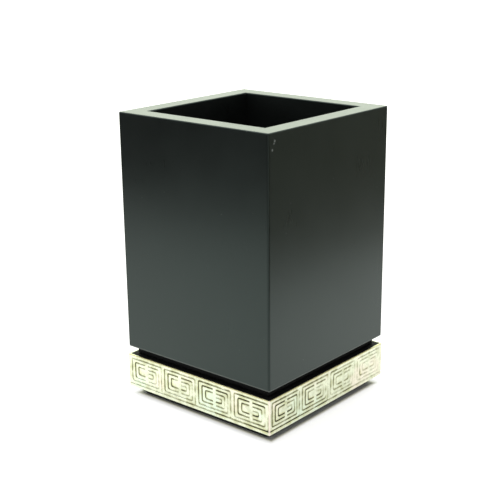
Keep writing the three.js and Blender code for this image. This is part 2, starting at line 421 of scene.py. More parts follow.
def mitre_key(name, corner, turn):
    """A bar across one mitre, with its ends and long edges eased."""
    low, high = (end.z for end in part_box("mitre_spline_" + corner))
    middle = Vector((-1, -1, 0)) * (cup_half - wall_thickness / 2)
    across = Vector((1, -1, 0)).normalized()
    along = Vector((1, 1, 0)).normalized()
    builder = bmesh.new()
    rings = []
    levels = ((key_easing, low), (0, low + key_easing), (0, high - key_easing), (key_easing, high))
    for inset, height in levels:
        ring = []
        for a, b in ((-1, -1), (1, -1), (1, 1), (-1, 1)):
            reach = across * a * (key_half_length - inset) + along * b * (key_half_thickness - inset)
            ring.append(builder.verts.new(middle + reach + Vector((0, 0, height))))
        rings.append(ring)
    stack_rings(builder, rings)
    builder.faces.new(rings[0])
    builder.faces.new(rings[-1])
    turn_piece(builder, turn)
    return finished_piece(name, builder)


def raw_wood():
    """Plain hardwood, with pale and dark growth rings and long open pores."""
    made, tree, shader, place = new_material("key_hardwood")
    bent = drawn_out(tree, place, wood_bend_per_metre, detail=3)
    rings = maths(tree, "SINE", maths(tree, "MULTIPLY", bent, rings_in_bend))
    pores = drawn_out(tree, place, wood_pores_per_metre, roughness=0.6)
    ringed = maths(tree, "MULTIPLY_ADD", rings, ring_darkening, least_darkening)
    grain = maths(tree, "MULTIPLY_ADD", pores, pore_darkening, ringed)
    tree.links.new(mixed(tree, grain, wood_pale, wood_dark), shader.inputs["Base Color"])
    tree.links.new(over_noise(tree, pores, *wood_roughness), shader.inputs["Roughness"])
    relieved(tree, shader, maths(tree, "MULTIPLY", pores, wood_pore_depth))
    return made


key_wood = raw_wood()
for turn, corner in enumerate(CORNERS):
    key = mitre_key("mitre_key_" + corner, corner, turn)
    key.data.materials.append(key_wood)
    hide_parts("mitre_spline_" + corner)


# Cup floor: a square board inside the walls, lacquered with them. A tongue round its edge sits in the
# groove of the walls, and four pilot holes in its underside hold the screws from below.

floor_clearance = 0.15 * MM
floor_half = cup_half - wall_thickness - floor_clearance
tongue_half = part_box("cup_floor")[1].x
tongue_bottom = cup_bottom + 1.5 * MM
tongue_top = cup_bottom + 4.5 * MM
floor_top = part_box("cup_floor")[1].z
floor_easing = 0.25 * MM
floor_corner = 0.1 * MM
floor_roughness = 0.38
least_corner = 0.02 * MM
hole_sides = 28
screw_clearance = 0.2 * MM
thread_radius = 1.9 * MM
hole_radius = thread_radius + screw_clearance
screw_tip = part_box("screw_front_left")[1].z
screw_spots = [sum(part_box("screw_" + corner), Vector()).xy / 2 for corner in CORNERS]


def turned(point, turn):
    """A point turned about the upright axis by whole quarter turns."""
    x, y = point
    for _ in range(turn):
        x, y = -y, x
    return x, y


def rounded_square(half, radius, steps=arris_steps):
    """Points round a square whose corners are rounded, from its front left corner."""
    flat = half - radius
    corner = arc((-flat, -flat), radius, 180, 270, steps)
    return [turned(point, turn) for turn in range(4) for point in corner]


def rings_of(builder, outlines):
    """Rings of points, each from its outline and height."""
    return [[builder.verts.new((x, y, height)) for x, y in outline] for outline, height in outlines]


def pierced_cap(builder, rings):
    """Fills a flat face between an outer ring and the rings of any holes in it."""
    edges = []
    for ring in rings:
        for pair in zip(ring, ring[1:] + ring[:1]):
            if pair[0] is not pair[1]:
                edges.append(builder.edges.get(pair) or builder.edges.new(pair))
    bmesh.ops.triangle_fill(builder, edges=edges, use_beauty=True, normal=(0, 0, 1))


def square_board(name, edge, corner, bore, through=True):
    """A board with an edge of (half width, height) points and a bore of (radius, height) for each screw."""
    builder = bmesh.new()
    widest = max(half for half, _ in edge)
    outlines = []
    for half, height in edge:
        radius = max(corner - (widest - half), least_corner)
        outlines.append((rounded_square(half, radius), height))
    rim = rings_of(builder, outlines)
    stack_rings(builder, rim)
    holes = []
    last = 360 - 360 / hole_sides
    for spot in screw_spots:
        rounds = [(arc(spot, radius, 0, last, hole_sides - 1), height) for radius, height in bore]
        holes.append(rings_of(builder, rounds))
        stack_rings(builder, holes[-1])
    pierced_cap(builder, [rim[0]] + [hole[0] for hole in holes])
    if through:
        pierced_cap(builder, [rim[-1]] + [hole[-1] for hole in holes])
    else:
        builder.faces.new(rim[-1])
        for hole in holes:
            builder.faces.new(hole[-1])
    return finished_piece(name, builder)


def eased(half, bottom, top, easing, steps=3):
    """The edge of a board from its underside to its top, with both its arrises rounded."""
    edge = [(half - easing - flat_margin, bottom)]
    edge += arc((half - easing, bottom + easing), easing, 270, 360, steps)
    edge += [(half, bottom + easing + flat_margin), (half, top - easing - flat_margin)]
    edge += arc((half - easing, top - easing), easing, 0, 90, steps)
    return edge + [(half - easing - flat_margin, top)]


floor_edge = [(floor_half, cup_bottom), (floor_half, tongue_bottom), (tongue_half, tongue_bottom)]
floor_edge += [(tongue_half, tongue_top), (floor_half, tongue_top), (floor_half, floor_top - floor_easing)]
floor_edge += [(floor_half - floor_easing, floor_top), (floor_half - floor_easing - flat_margin, floor_top)]
pilot = [(hole_radius, cup_bottom), (hole_radius, screw_tip + screw_clearance)]
cup_floor = square_board("cup_floor_board", floor_edge, floor_corner, pilot, through=False)
cup_floor.data.materials.append(lacquer("black_lacquer_floor", floor_roughness))
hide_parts("cup_floor")


# Neck block and base board: two square boards, stained matt black, glued and screwed one on the other.
# The neck stands back all round, so that the cup seems to float over the base.

matt_black = (0.0040, 0.0042, 0.0044, 1)
stain_specular = 0.22
stain_pores_per_metre = (260, 5200, 5200)
stain_pore_depth = 0.02 * MM
stain_pore_shade = (0.75, 1.3)
stain_clouds_per_metre = 70
stain_cloud_shade = (0.85, 1.2)
stain_roughness = (0.62, 0.80)
neck_easing = 0.2 * MM
base_easing = 0.1 * MM


def matt_stain():
    """Black stain on close-grained wood: dull, with the grain just showing in its sheen."""
    made, tree, shader, place = new_material("matt_black_stain")
    shader.inputs["Specular IOR Level"].default_value = stain_specular
    pores = drawn_out(tree, place, stain_pores_per_metre, detail=3, roughness=0.6)
    cloud = grain_noise(tree, place, stain_clouds_per_metre, detail=3)
    pore_shade = over_noise(tree, pores, *stain_pore_shade)
    shade = maths(tree, "MULTIPLY", pore_shade, over_noise(tree, cloud, *stain_cloud_shade))
    tree.links.new(scaled(tree, matt_black[:3], shade), shader.inputs["Base Color"])
    tree.links.new(over_noise(tree, pores, *stain_roughness), shader.inputs["Roughness"])
    relieved(tree, shader, maths(tree, "MULTIPLY", pores, stain_pore_depth))
    return made


stained = matt_stain()
for node, name, easing in (("neck_block", "neck", neck_easing), ("base_board", "base", base_easing)):
    low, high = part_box(node)
    straight = [(hole_radius, low.z), (hole_radius, high.z)]
    board = square_board(name + "_square", eased(high.x, low.z, high.z, easing), easing, straight)
    board.data.materials.append(stained)
    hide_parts(node)


# Silver band: four strips of thin white metal, each pressed in a die and wrapped round the base board,
# mitred at the corners and glued. Four square frets stand side by side on each; their sunk lines are
# darkened with patina, and the ridges between them are rubbed bright.

band_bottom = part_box("band_front")[0].z
band_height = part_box("band_front")[1].z - band_bottom
band_half = -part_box("band_front")[0].y
band_thickness = band_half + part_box("band_front")[1].y
band_corner = 0.40 * MM
band_arris = 0.28 * MM
band_arris_steps = 4
tiles_per_side = 4
corner_land = 1.0 * MM
tile_starts = (0.55 * MM, 0.05 * MM, 0.3 * MM, 0.3 * MM)
line_half_width = 0.25 * MM
line_depth = 0.15 * MM
line_pitch = 1.58 * MM
line_pitch_left = 1.90 * MM
line_from_bottom = 1.65 * MM
line_from_top = 1.40 * MM
line_from_left = 1.60 * MM
line_from_right = 0.30 * MM
stem_half_width = 0.80 * MM
bend_radius = 0.65 * MM
bend_steps = 4
slope_half_width = 0.15 * MM
crown_drop = 0.10
slope_foot_share = 0.94
band_soft_angle = 75
closest_marks = slope_half_width / 4
widest_marks = 1.6 * slope_half_width
dent_depth = 0.012 * MM
dents_per_metre = 150
dents_unlike = 7.3
plain_end = 2 * MM

silver_bright = (0.87, 0.905, 0.70, 1)
silver_dull = (0.68, 0.72, 0.53, 1)
silver_roughness = 0.27
# Painted shade: the band's right face is made darker than the others.
right_face_painted_shade = 0.90
right_face_shade_zone = (0.8 * MM, 0.7 * MM)
tarnish_green = (0.82, 0.93, 0.74, 1)
tarnish_pink = (0.92, 0.87, 0.72, 1)
patina_dark = (0.040, 0.041, 0.022, 1)
patina_film = (0.68, 0.68, 0.32, 1)
brass_edge = (0.84, 0.79, 0.42, 1)
brass_zone = (0.45 * MM, 0.2 * MM)
outer_skin = (0.35 * MM, 0.25 * MM)
copper_edge = (0.88, 0.80, 0.68, 1)
copper_zone = (0.9 * MM, 0.3 * MM)
clean_zone = (0.4 * MM, 0)
lowest_patina = 0.30
run_patina = (
    (0.60, 0.90), (0.35, 0.35), (0.65, 0.55), (0.60, 0.60),
    (0.45, 0.55), (0.30, 0.30), (1.00, 0.90), (0.95, 0.95),
    (0.75, 0.50), (0.35, 0.35), (0.60, 0.60), (0.90, 0.90),
    (0.85, 1.00), (0.45, 0.45), (0.35, 0.35),
)
patina_spread = 0.30 * MM
fade_high = ((1.05, 0.35), (0.95, 0.15), (0.40, 0.80), (0.80, 0.60))
fade_low = ((0.90, 0.05), (1.50, 0.05), (0.30, 0.60), (0.60, 0.30))
fade_upright = ((0.90, 0.85), (1.10, 0.10), (0.40, 0.80), (0.80, 0.60))
high_from = 8 * MM
low_to = 3 * MM

metal_patches_per_metre = 260
patch_unevenness = 1.5
metal_grain_per_metre = 5200
metal_grain_height = 0.003 * MM
metal_grain_roughness = 0.12
metal_pits_per_metre = 2300
metal_pit_edge = (0.66, 0.74)
metal_pit_depth = 0.006 * MM
dull_grain = 0.25
dull_edge = (0.5, 0.85)
dull_roughness = 0.14
metal_tinge_per_metre = 75
green_edge = (0.55, 0.70)
pink_edge = (0.45, 0.30)
film_edge = (0, 0.6)
film_share = 0.7
recess_edge = (0.20, 0.65)
grime_metallic = 0.25
grime_roughness = 0.3

tile_width = (2 * band_half - corner_land) / tiles_per_side
stem_middle = (line_from_left + tile_width - line_from_right) / 2


def fret_path():
    """The line of one tile, turning inwards from the left end of its lowest run, and ending at the stem."""
    path = [(0, line_from_bottom)]
    left = line_from_left
    right = tile_width - line_from_right
    bottom = line_from_bottom
    top = band_height - line_from_top
    while top - bottom > line_pitch and right - left > line_pitch:
        path += [(right, bottom), (right, top), (left, top), (left, bottom + line_pitch)]
        left += line_pitch_left
        right -= line_pitch
        bottom += line_pitch
        top -= line_pitch
    return path[:-2] + [(stem_middle, path[-2][1])]


def tile_places(side):
    """Where each tile of a strip starts, from the strip's left end."""
    return [tile_starts[side] + tile * tile_width for tile in range(tiles_per_side)]


def tile_pieces():
    """The line of one tile as straight pieces (start, end, run), with short ones round each bend."""
    path = [Vector(point) for point in fret_path()]
    pieces = []
    start = path[0]
    for run, (here, corner) in enumerate(zip(path, path[1:])):
        if corner is path[-1]:
            pieces.append((start, corner, run))
            break
        back = (here - corner).normalized() * bend_radius
        onward = (path[run + 2] - corner).normalized() * bend_radius
        pieces.append((start, corner + back, run))
        bend = arc((0, 0), 1, 0, 90, bend_steps)
        bend = [corner + back * (1 - across) + onward * (1 - along) for along, across in bend]
        for step, ends in enumerate(zip(bend, bend[1:])):
            pieces.append((*ends, run + step * 2 // bend_steps))
        start = corner + onward
    return pieces


def strip_pieces(side):
    """Every sunk piece of a strip as (start, end, run, place of the stem), from its lower left corner.

    The first is the line that passes under all the tiles, and is no run of theirs.
    """
    lowest = (Vector((0, line_from_bottom)), Vector((2 * band_half, line_from_bottom)), None, band_half)
    places = [Vector((place, 0)) for place in tile_places(side)]
    return [lowest] + [
        (place + start, place + end, run, place.x + stem_middle)
        for place in places
        for start, end, run in tile_pieces()
    ]


def stem_boxes(side):
    """The upright flat stem that breaks the level runs of each tile, above the two lowest."""
    low = line_from_bottom + 1.5 * line_pitch
    high = band_height - line_from_top - line_pitch / 2
    middles = [start + stem_middle for start in tile_places(side)]
    return [(middle - stem_half_width, middle + stem_half_width, low, high) for middle in middles]


def apart_from(start, end, x, z):
    """How far each point lies from a straight piece."""
    along = end - start
    share = ((x - start.x) * along.x + (z - start.y) * along.y) / along.length_squared
    share = np.clip(share, 0, 1)
    return np.hypot(x - start.x - share * along.x, z - start.y - share * along.y)


def outside(boxes, x, z):
    """How far each point lies outside the nearest box, less than nothing within it."""
    nearest = np.full(np.broadcast(x, z).shape, np.inf)
    for left, right, bottom, top in boxes:
        apart = np.maximum(np.maximum(left - x, x - right), np.maximum(bottom - z, z - top))
        nearest = np.minimum(nearest, apart)
    return nearest


def grid_marks(edges, low, high):
    """Places at which a strip's relief bends: both sides of each line's edge, and midway between."""
    marks = set()
    for edge in edges:
        marks.update((edge - slope_half_width, edge, edge + slope_half_width))
    marks = sorted(mark for mark in marks if low < mark < high)
    kept = [marks[0]]
    for mark in marks[1:]:
        if mark - kept[-1] > closest_marks:
            kept.append(mark)
    middles = [(a + b) / 2 for a, b in zip(kept, kept[1:]) if b - a > widest_marks]
    return sorted(kept + middles)


def pressed_depth(x, z, side):
    """How deep each point is pressed: crowned ridges, sloped sides and nearly flat line bottoms."""
    apart = np.full(np.broadcast(x, z).shape, np.inf)
    for start, end, _, _ in strip_pieces(side):
        apart = np.minimum(apart, apart_from(start, end, x, z))
    apart = np.maximum(apart - line_half_width, -outside(stem_boxes(side), x, z))
    places = [-line_half_width, -slope_half_width, 0, slope_half_width, 3 * slope_half_width]
    shares = [1, slope_foot_share, 0.5, crown_drop, 0]
    depth = np.interp(apart, places, shares) * line_depth
    dented = np.vectorize(lambda a, b: noise.noise(Vector((a, b, dents_unlike * side))))
    dents = dented(x * dents_per_metre, z * dents_per_metre)
    return depth + (dents + 0.5).clip(0, 1) * dent_depth


def kept_patina(x, z, side):
    """How much of the patina each point has kept: its run's share, left or right of the stem, faded.

    A side's two fade shares are for its left and right ends, seen from outside, and on the front for
    its right and left ends. Level runs have shares of their own high up and low down.
    """
    along = x / (2 * band_half) if side else 1 - x / (2 * band_half)
    high = np.interp(along, (0, 1), fade_high[side])
    low = np.interp(along, (0, 1), fade_low[side])
    level = low + (high - low) * np.clip((z - low_to) / (high_from - low_to), 0, 1)
    upright = np.interp(along, (0, 1), fade_upright[side])
    kept = np.zeros(np.broadcast(x, z).shape)
    for start, end, run, stem in strip_pieces(side):
        near = np.clip(1 - (apart_from(start, end, x, z) - line_half_width) / patina_spread, 0, 1)
        left, right = (lowest_patina, lowest_patina) if run is None else run_patina[run]
        fade = upright if run is not None and run % 2 else level
        kept = np.maximum(kept, near * fade * np.where(x < stem, left, right))
    return kept * np.clip(outside(stem_boxes(side), x, z) / slope_half_width + 1, 0, 1)


def strip_section():
    """The strip's end as (inset, height above its lower edge), up the front and down the back."""
    edges = [z + way for _, z in fret_path() for way in (-line_half_width, line_half_width)]
    heights = grid_marks(edges, band_arris + flat_margin, band_height - band_arris - flat_margin)
    r = band_arris
    section = arc((r, r), r, 270, 180, band_arris_steps)
    section += [(0, height) for height in heights]
    section += arc((r, band_height - r), r, 180, 90, band_arris_steps)
    return section + [(band_thickness, band_height), (band_thickness, 0)]


def strip_spots(side):
    """Where the columns of points stand along the flat stretch of a strip, from its middle."""
    flat = band_half - band_corner
    ways = (-line_half_width, line_half_width)
    edges = [place + x + way for place in tile_places(side) for x, _ in fret_path() for way in ways]
    edges += [value for box in stem_boxes(side) for value in box[:2]]
    marks = grid_marks(edges, band_corner, 2 * band_half - band_corner)
    return [-flat] + [mark - band_half for mark in marks] + [flat]


def strip_relief(x, inset, z, side):
    """How far in each point is pressed, less round the arrises and not at all on the back.

    Near the strip's ends no point is pressed deeper than a line.
    """
    relief = pressed_depth(x, z, side)
    relief[-2:] = 0
    relief *= np.clip((band_thickness - inset) / band_thickness, 0, 1)
    from_end = np.minimum(x, 2 * band_half - x)
    return np.minimum(relief, np.where(from_end < plain_end, line_depth, 1))


def band_strip(name, turn):
    """One strip with its fret pressed in, and the share of the patina kept stored at each point."""
    builder = bmesh.new()
    patina = builder.verts.layers.float.new("patina")
    spots = strip_spots(turn)
    left_round = np.linspace(0, band_corner, arris_steps + 1)
    right_round = np.linspace(2 * band_half - band_corner, 2 * band_half, arris_steps + 1)
    x = np.concatenate((left_round, np.array(spots) + band_half, right_round))[None, :]
    section = strip_section()
    inset, z = (np.array(values)[:, None] for values in zip(*section))
    raised = [(depth, height + band_bottom) for depth, height in section]
    rows = swept_side(builder, band_half, band_corner, raised, spots, strip_relief(x, inset, z, turn))
    for row, shares in zip(rows, kept_patina(x, z, turn)):
        for vert, share in zip(row, shares):
            vert[patina] = share
    for end in (0, -1):
        builder.faces.new([row[end] for row in rows])
    turn_piece(builder, turn)
    return finished_piece(name, builder, band_soft_angle)


def aged_metal_effect():
    """Metal that has been handled: bright where rubbed, dull in patches, dark where grime is left."""
    inputs = {"Bright": "Color", "Dull": "Color", "Green": "Color", "Pink": "Color", "Film": "Color"}
    inputs.update({"Grime": "Color", "Recess": "Float", "Amount": "Float", "Roughness": "Float"})
    outputs = {"Color": "Color", "Metallic": "Float", "Roughness": "Float", "Height": "Float"}
    tree, given, out = effect("aged_metal", inputs, outputs)
    place = add(tree, "ShaderNodeTexCoord").outputs["Object"]
    patches = grain_noise(tree, place, metal_patches_per_metre, detail=4, roughness=0.6)
    grain = grain_noise(tree, place, metal_grain_per_metre, detail=3, roughness=0.6)
    pitted = ramp(tree, grain_noise(tree, place, metal_pits_per_metre), *metal_pit_edge)
    dulled = ramp(tree, maths(tree, "MULTIPLY_ADD", grain, dull_grain, patches), *dull_edge)
    metal = mixed(tree, dulled, given["Bright"], given["Dull"])
    tinge = grain_noise(tree, place, metal_tinge_per_metre)
    greened = mixed(tree, ramp(tree, tinge, *green_edge), metal, given["Green"])
    metal = mixed(tree, ramp(tree, tinge, *pink_edge), greened, given["Pink"])
    uneven = unevenly(tree, given["Amount"], patches, patch_unevenness)
    grimy = maths(tree, "MULTIPLY", ramp(tree, uneven, 0, 1), ramp(tree, given["Recess"], *recess_edge))
    filmed = mixed(tree, ramp(tree, uneven, *film_edge, 0, film_share), metal, given["Film"])
    tree.links.new(mixed(tree, grimy, filmed, given["Grime"]), out["Color"])
    tree.links.new(maths(tree, "MULTIPLY_ADD", grimy, grime_metallic - 1, 1), out["Metallic"])
    dull_rough = maths(tree, "MULTIPLY_ADD", dulled, dull_roughness, given["Roughness"])
    grain_rough = unevenly(tree, dull_rough, grain, metal_grain_roughness)
    tree.links.new(maths(tree, "MULTIPLY_ADD", grimy, grime_roughness, grain_rough), out["Roughness"])
    fine = maths(tree, "MULTIPLY", grain, metal_grain_height)
    tree.links.new(maths(tree, "MULTIPLY_ADD", pitted, -metal_pit_depth, fine), out["Height"])
    return tree


aged_metal = aged_metal_effect()


def worn_metal(tree, shader, finish):
    """Places the aged metal with its colours and values, and feeds all but its colour to the shader."""
    wear = add(tree, "ShaderNodeGroup", finish, node_tree=aged_metal).outputs
    tree.links.new(wear["Metallic"], shader.inputs["Metallic"])
    tree.links.new(wear["Roughness"], shader.inputs["Roughness"])
    relieved(tree, shader, wear["Height"])
    return wear["Color"]


def silver():
    """Silver with grime in the fret's lines, brassy along its top edge, coppery at the corners, and with
    painted shade that darkens the right face.
    """
    made, tree, shader, place = new_material("fretted_silver")
    axes = add(tree, "ShaderNodeSeparateXYZ", {0: place}).outputs
    reach = off_middle(tree, axes, "MAXIMUM")
    band_top = band_bottom + band_height
    sunk = maths(tree, "DIVIDE", maths(tree, "SUBTRACT", band_half, reach), line_depth)
    below_top = close_to(tree, axes["Z"], band_top, clean_zone, 1, 0)
    finish = {"Bright": silver_bright, "Dull": silver_dull, "Green": tarnish_green, "Pink": tarnish_pink}
    finish.update({"Film": patina_film, "Grime": patina_dark, "Roughness": silver_roughness})
    finish["Recess"] = maths(tree, "MULTIPLY", sunk, below_top)
    finish["Amount"] = add(tree, "ShaderNodeAttribute", attribute_name="patina").outputs["Fac"]
    # Painted shade: the colour of the right face is scaled darker.
    share = close_to(tree, axes["X"], band_half, right_face_shade_zone, 1, right_face_painted_shade)
    metal = scaled(tree, worn_metal(tree, shader, finish), share)
    at_top = close_to(tree, axes["Z"], band_top, brass_zone)
    outermost = close_to(tree, reach, band_half, outer_skin)
    edged = mixed(tree, maths(tree, "MULTIPLY", at_top, outermost), metal, brass_edge)
    at_corner = close_to(tree, off_middle(tree, axes, "MINIMUM"), band_half, copper_zone)
    tree.links.new(mixed(tree, at_corner, edged, copper_edge), shader.inputs["Base Color"])
    return made


silver_metal = silver()
for turn, side in enumerate(SIDES):
    strip = band_strip("silver_band_" + side, turn)
    strip.data.materials.append(silver_metal)
    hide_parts("band_" + side)


# Foot plate: a thin square board, lacquered black and set back under the base, with softened edges.
# Its underside is countersunk for the four screws that hold the whole stack together.

foot_bottom, foot_top = (end.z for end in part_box("foot_plate"))
foot_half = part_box("foot_plate")[1].x
screw_head_radius = 3.7 * MM
sink_radius = screw_head_radius + screw_clearance
sink_depth = 0.3 * MM
foot_roughness = 0.34

countersink = [(sink_radius, foot_bottom), (sink_radius, foot_bottom + sink_depth), (hole_radius, foot_top)]
foot_edge = eased(foot_half, foot_bottom, foot_top, arris_radius, arris_steps)
foot = square_board("foot_square", foot_edge, corner_radius, countersink)
foot.data.materials.append(lacquer("black_lacquer_foot", foot_roughness))
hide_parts("foot_plate")


# Screws: four countersunk wood screws of yellow zinc plated steel, with a cross recess, driven up from
# under the foot into the cup floor. The felt covers their heads.

screw_sides = 24
core_radius = 1.35 * MM
head_height = 2.1 * MM
head_chamfer = 0.1 * MM
head_edge = 0.25 * MM
plain_length = 0.4 * MM
thread_pitch = 2.0 * MM
thread_half_share = 0.36
tip_length = 3.0 * MM
tip_radius = 0.03 * MM
rows_per_turn = 8
recess_half_span = 2.1 * MM
recess_half_width = 0.45 * MM
recess_depth = 1.4 * MM
recess_taper = 0.55

zinc_bright = (0.74, 0.69, 0.50, 1)
zinc_dull = (0.50, 0.47, 0.36, 1)
zinc_green = (0.66, 0.70, 0.47, 1)
zinc_pink = (0.76, 0.62, 0.50, 1)
zinc_roughness = 0.32
grime_per_metre = 900
grime_edge = (0.45, 0.8)
grime_amount = (-0.3, 0.6)
workshop_grime = (0.05, 0.045, 0.035, 1)


def screw_radius(height, angle, length):
    """The radius of the shank, with one thread that climbs it and runs out on the tip."""
    core = core_radius * min((length - height) / tip_length, 1)
    climb = (height / thread_pitch - angle / (2 * math.pi)) % 1
    ridge = max(1 - abs(climb - 0.5) / thread_half_share, 0)
    started = min(max((height - head_height - plain_length) / thread_pitch, 0), 1)
    ended = min((length - height) / tip_length, 1)
    return max(core + (thread_radius - core_radius) * ridge * started * ended, tip_radius)


def cross_outline(span, width):
    """The twelve corners of a cross."""
    arm = [(-width, -width), (-width, -span), (width, -span)]
    return [turned(point, turn) for turn in range(4) for point in arm]


def wood_screw(name, corner, spot):
    """A screw that stands on its head, with a thread up to its tip and a cross sunk from below."""
    low, high = (end.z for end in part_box("screw_" + corner))
    length = high - low
    builder = bmesh.new()
    head = ((screw_head_radius - head_chamfer, 0), (screw_head_radius, head_chamfer))
    head += ((screw_head_radius, head_edge),)
    rings = [[level] * screw_sides for level in head]
    angles = [2 * math.pi * side / screw_sides for side in range(screw_sides)]
    count = round((length - head_height) / thread_pitch * rows_per_turn)
    for row in range(count + 1):
        height = head_height + (length - head_height) * row / count
        rings.append([(screw_radius(height, angle, length), height) for angle in angles])
    made = []
    for ring in rings:
        points = []
        for angle, (radius, height) in zip(angles, ring):
            across = (spot.x + radius * math.cos(angle), spot.y + radius * math.sin(angle))
            points.append(builder.verts.new((*across, low + height)))
        made.append(points)
    stack_rings(builder, made)
    builder.faces.new(made[-1])
    mouth = [(spot.x + x, spot.y + y) for x, y in cross_outline(recess_half_span, recess_half_width)]
    ends = cross_outline(recess_half_span * recess_taper, recess_half_width * recess_taper)
    bottom = [(spot.x + x, spot.y + y) for x, y in ends]
    recess = rings_of(builder, [(mouth, low), (bottom, low + recess_depth)])
    stack_rings(builder, recess)
    builder.faces.new(recess[-1])
    pierced_cap(builder, [made[0], recess[0]])
    return finished_piece(name, builder)


def zinc_steel():
    """Yellow zinc plating, with a little workshop grime on it."""
    made, tree, shader, place = new_material("zinc_plated_steel")
    finish = {"Bright": zinc_bright, "Dull": zinc_dull, "Green": zinc_green, "Pink": zinc_pink}
    finish.update({"Film": zinc_dull, "Grime": workshop_grime, "Recess": 1, "Roughness": zinc_roughness})
    patches = grain_noise(tree, place, grime_per_metre, detail=3)
    finish["Amount"] = ramp(tree, patches, *grime_edge, *grime_amount)
    tree.links.new(worn_metal(tree, shader, finish), shader.inputs["Base Color"])
    return made


screw_steel = zinc_steel()
for corner, spot in zip(CORNERS, screw_spots):
    fastener = wood_screw("wood_screw_" + corner, corner, spot)
    fastener.data.materials.append(screw_steel)
    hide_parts("screw_" + corner)


# Felt pad: a square of pressed black felt under a millimetre thick, glued under the foot so that the
# holder neither slips nor scratches. Its edge is cut, and so a little furry.

felt_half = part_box("felt_pad")[1].x
felt_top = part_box("felt_pad")[1].z
felt_corner = 1.5 * MM
felt_cells = 90
felt_rows = 4
felt_fray = 0.10 * MM
fray_per_metre = 3100
frayed_edge = 0.5 * MM
felt_nap = 0.035 * MM
nap_per_metre = 900
felt_black = (0.010, 0.011, 0.0105, 1)
felt_fibre = (0.045, 0.047, 0.045, 1)
felt_sheen = 0.25
felt_sheen_roughness = 0.6
felt_specular = 0.15
fibres_along = (900, 5200, 3000)
fibres_across = (5200, 900, 3000)
fibre_height = 0.12 * MM
fibre_span = (0.4, 0.7)
tufts_per_metre = 420
tuft_share = 0.35
lighter_edge = (0.62, 0.92)
felt_roughness = (0.86, 0.97)


def rounded_place(x, y, half, radius):
    """Moves a point of a square towards its middle, so that the square's corners come out round."""
    flat = half - radius
    out = Vector((max(abs(x) - flat, 0), max(abs(y) - flat, 0)))
    if out.x == 0 or out.y == 0:
        return x, y
    out *= max(out.x, out.y) / out.length
    return math.copysign(flat + out.x, x), math.copysign(flat + out.y, y)


def noise_share(place):
    """Noise at a place, from nothing to one."""
    return 0.5 + 0.5 * noise.noise(place)


def felt_sheet():
    """A fine square grid with its corners rounded, thickened, furred at the cut edge and napped below."""
    builder = bmesh.new()
    bmesh.ops.create_grid(builder, x_segments=felt_cells, y_segments=felt_cells, size=felt_half)
    for vert in builder.verts:
        vert.co.x, vert.co.y = rounded_place(vert.co.x, vert.co.y, felt_half, felt_corner)
    edge = [vert for vert in builder.verts if vert.is_boundary]
    edge.sort(key=lambda vert: math.atan2(vert.co.y, vert.co.x))
    rings = [edge]
    for row in range(felt_rows):
        height = felt_top * (row + 1) / felt_rows
        rings.append([builder.verts.new((vert.co.x, vert.co.y, height)) for vert in edge])
    stack_rings(builder, rings)
    builder.faces.new(rings[-1])
    for vert in builder.verts:
        if max(abs(vert.co.x), abs(vert.co.y)) > felt_half - frayed_edge:
            fray = 1 - felt_fray / felt_half * noise_share(vert.co * fray_per_metre)
            vert.co.x *= fray
            vert.co.y *= fray
        if vert.co.z == 0:
            vert.co.z = felt_nap * noise_share(vert.co * nap_per_metre)
    lowest = min(vert.co.z for vert in builder.verts)
    for vert in builder.verts:
        if vert.co.z < felt_top:
            vert.co.z -= lowest
    return finished_piece("felt_sheet", builder)


def pressed_felt():
    """Black wool felt: short fibres lying both ways, with a few lighter ones and a soft sheen."""
    made, tree, shader, place = new_material("pressed_felt")
    shader.inputs["Sheen Weight"].default_value = felt_sheen
    shader.inputs["Sheen Roughness"].default_value = felt_sheen_roughness
    shader.inputs["Specular IOR Level"].default_value = felt_specular
    lengthways = drawn_out(tree, place, fibres_along, detail=4, roughness=0.7)
    crossways = drawn_out(tree, place, fibres_across, detail=4, roughness=0.7)
    tufts = grain_noise(tree, place, tufts_per_metre, detail=3)
    fibres = maths(tree, "MAXIMUM", lengthways, crossways)
    light = ramp(tree, maths(tree, "MULTIPLY_ADD", tufts, tuft_share, fibres), *lighter_edge)
    tree.links.new(mixed(tree, light, felt_black, felt_fibre), shader.inputs["Base Color"])
    tree.links.new(ramp(tree, fibres, *fibre_span, *felt_roughness), shader.inputs["Roughness"])
    relieved(tree, shader, maths(tree, "MULTIPLY", fibres, fibre_height))
    return made


felt = felt_sheet()
felt.data.materials.append(pressed_felt())
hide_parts("felt_pad")


# Table and light: a white table that runs out of sight, under two soft lamps in a white room, with two
# upright cards beyond the edges of the picture. The cards only show as reflections, and darken the upper
# half of the lacquer.

table_white = (0.86, 0.86, 0.85, 1)
table_half = 6.0
table_roughness = 0.9
table_specular = 0.1
# Yellow tint painted into the holder's shadow on the table, and the painted glow that fills the table's
# shade further out.
painted_shadow_tint = (1.0, 0.97, 0.55, 1)
contact_zone = (34.4 * MM, 36.7 * MM)
longer_shade = 1.4 * MM
near_glow = 0.55
far_glow = 0.25
far_zone = (0.15, 1.2)

card_width = 0.95
card_height = 0.15
front_card_place = (-0.22, -0.254)
front_card_facing = -17
front_card_colour = (0.004, 0.004, 0.005, 1)
right_card_place = (0.140, 0.33)
right_card_facing = 96
right_card_colour = (0.275, 0.270, 0.225, 1)

above_place = (-0.1, -0.1, 1.3)
above_size = (1.3, 1.3)
above_radiance = 2.1
above_colour = (1, 1, 1)
behind_place = (-0.75, 0.9, 0.62)
behind_aim = (0, 0, 0.1)
behind_size = (1.5, 0.75)
behind_radiance = 1.7
behind_colour = (0.82, 0.94, 0.67)
room_white = (1, 1, 1, 1)
room_light = 0.40
room_seen = 1.0


